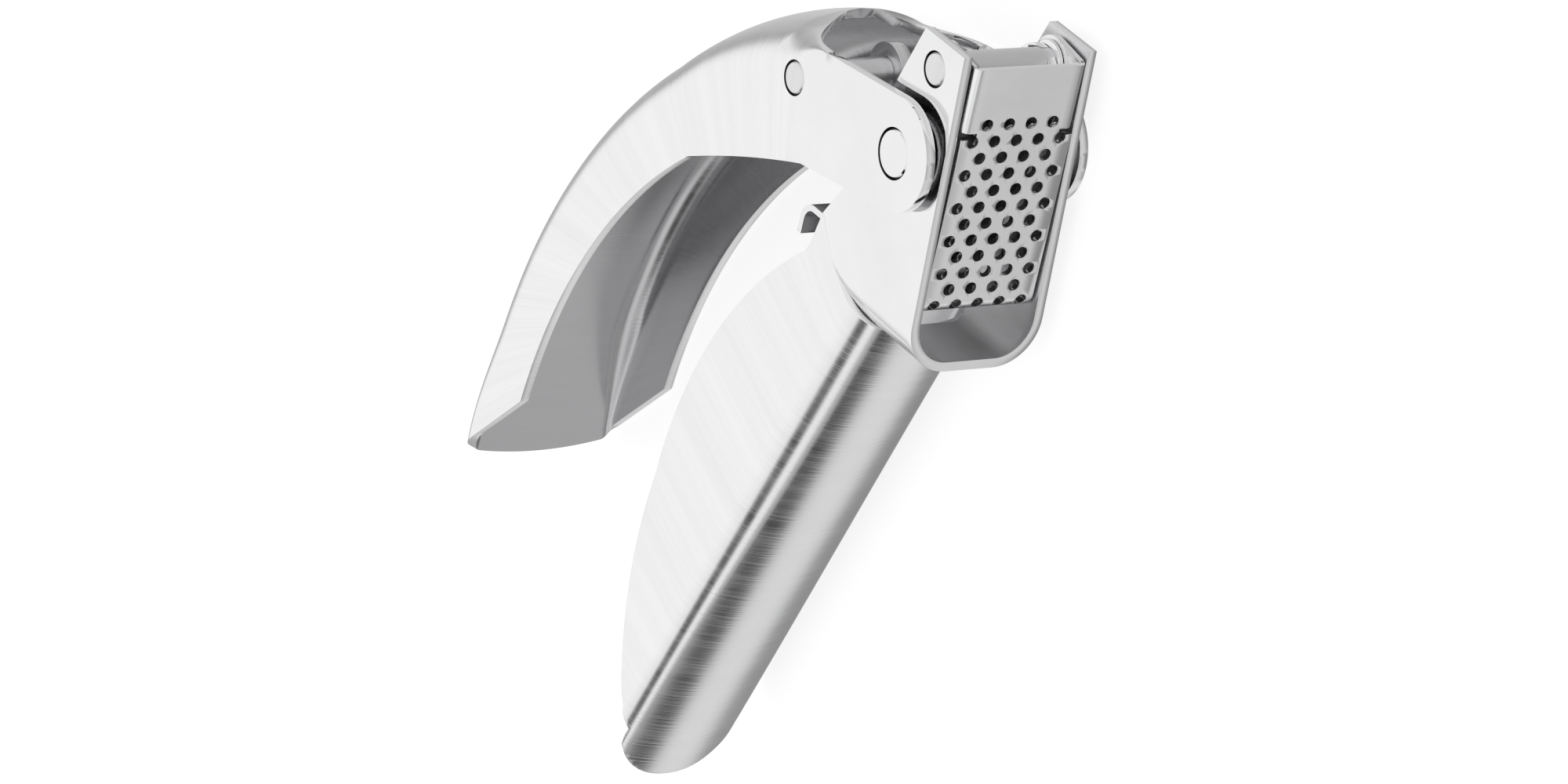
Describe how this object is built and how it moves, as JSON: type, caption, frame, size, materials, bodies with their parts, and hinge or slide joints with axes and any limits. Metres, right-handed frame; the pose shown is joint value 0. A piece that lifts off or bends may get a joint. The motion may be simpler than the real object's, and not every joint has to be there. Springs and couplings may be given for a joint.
{
  "type": "garlic press",
  "caption": "Two-handled sheet-steel garlic press with a curved upper handle, a perforated sieve basket that swings out, and a hinged plunger driven by a link.",
  "frame": {"origin": "centre of the bounding box in X and Y, on the plane that the press lies on", "axes": "+X out through the sieve, +Y up along the sieve and away from the handle ends, +Z across the press towards its left side; every hinge axis runs along Z"},
  "size_m": [0.1284, 0.1794, 0.0343],
  "materials": {
    "brushed": "satin brushed across the handles",
    "polished": "mirror polished sheet",
    "sieve": "polished, slightly satin sheet",
    "rod": "turned bright bar"
  },
  "bodies": {
    "frame": {"head_frame": "polished", "lower_handle": "brushed", "top_rod": "rod", "left_pivot_rivet": "rod", "right_pivot_rivet": "rod", "left_pivot_washer": "polished", "right_pivot_washer": "polished", "left_rod_washer": "polished", "right_rod_washer": "polished"},
    "handle": {"upper_handle": "brushed", "link_rod": "polished"},
    "link": {"plunger_link": "rod"},
    "plunger": {"plunger_plate": "sieve", "left_plunger_arm": "polished", "right_plunger_arm": "polished", "plunger_bracket": "polished", "plunger_pin": "rod"},
    "sieve": {"sieve_basket": "sieve"}
  },
  "joints": [
    {"name": "handle_squeeze", "type": "hinge", "parent": "frame", "child": "handle", "pos_m": [0.05133, 0.067, 0.01715], "axis": [0, 0, 1], "range_deg": [-15, 26]},
    {"name": "plunger_swing", "type": "hinge", "parent": "frame", "child": "plunger", "pos_m": [0.05333, 0.084, 0.01715], "axis": [0, 0, 1], "range_deg": [-9.2, 15.9]},
    {"name": "link_turn", "type": "hinge", "parent": "handle", "child": "link", "pos_m": [0.01793, 0.0658, 0.01715], "axis": [0, 0, 1], "range_deg": [-4.4, 7.6]},
    {"name": "sieve_swing", "type": "hinge", "parent": "frame", "child": "sieve", "pos_m": [0.05333, 0.084, 0.01715], "axis": [0, 0, 1], "range_deg": [0, 22]}
  ],
  "couplings": [
    {"joint": "plunger_swing", "follows": "handle_squeeze", "ratio": 0.607},
    {"joint": "link_turn", "follows": "handle_squeeze", "ratio": 0.29}
  ]
}
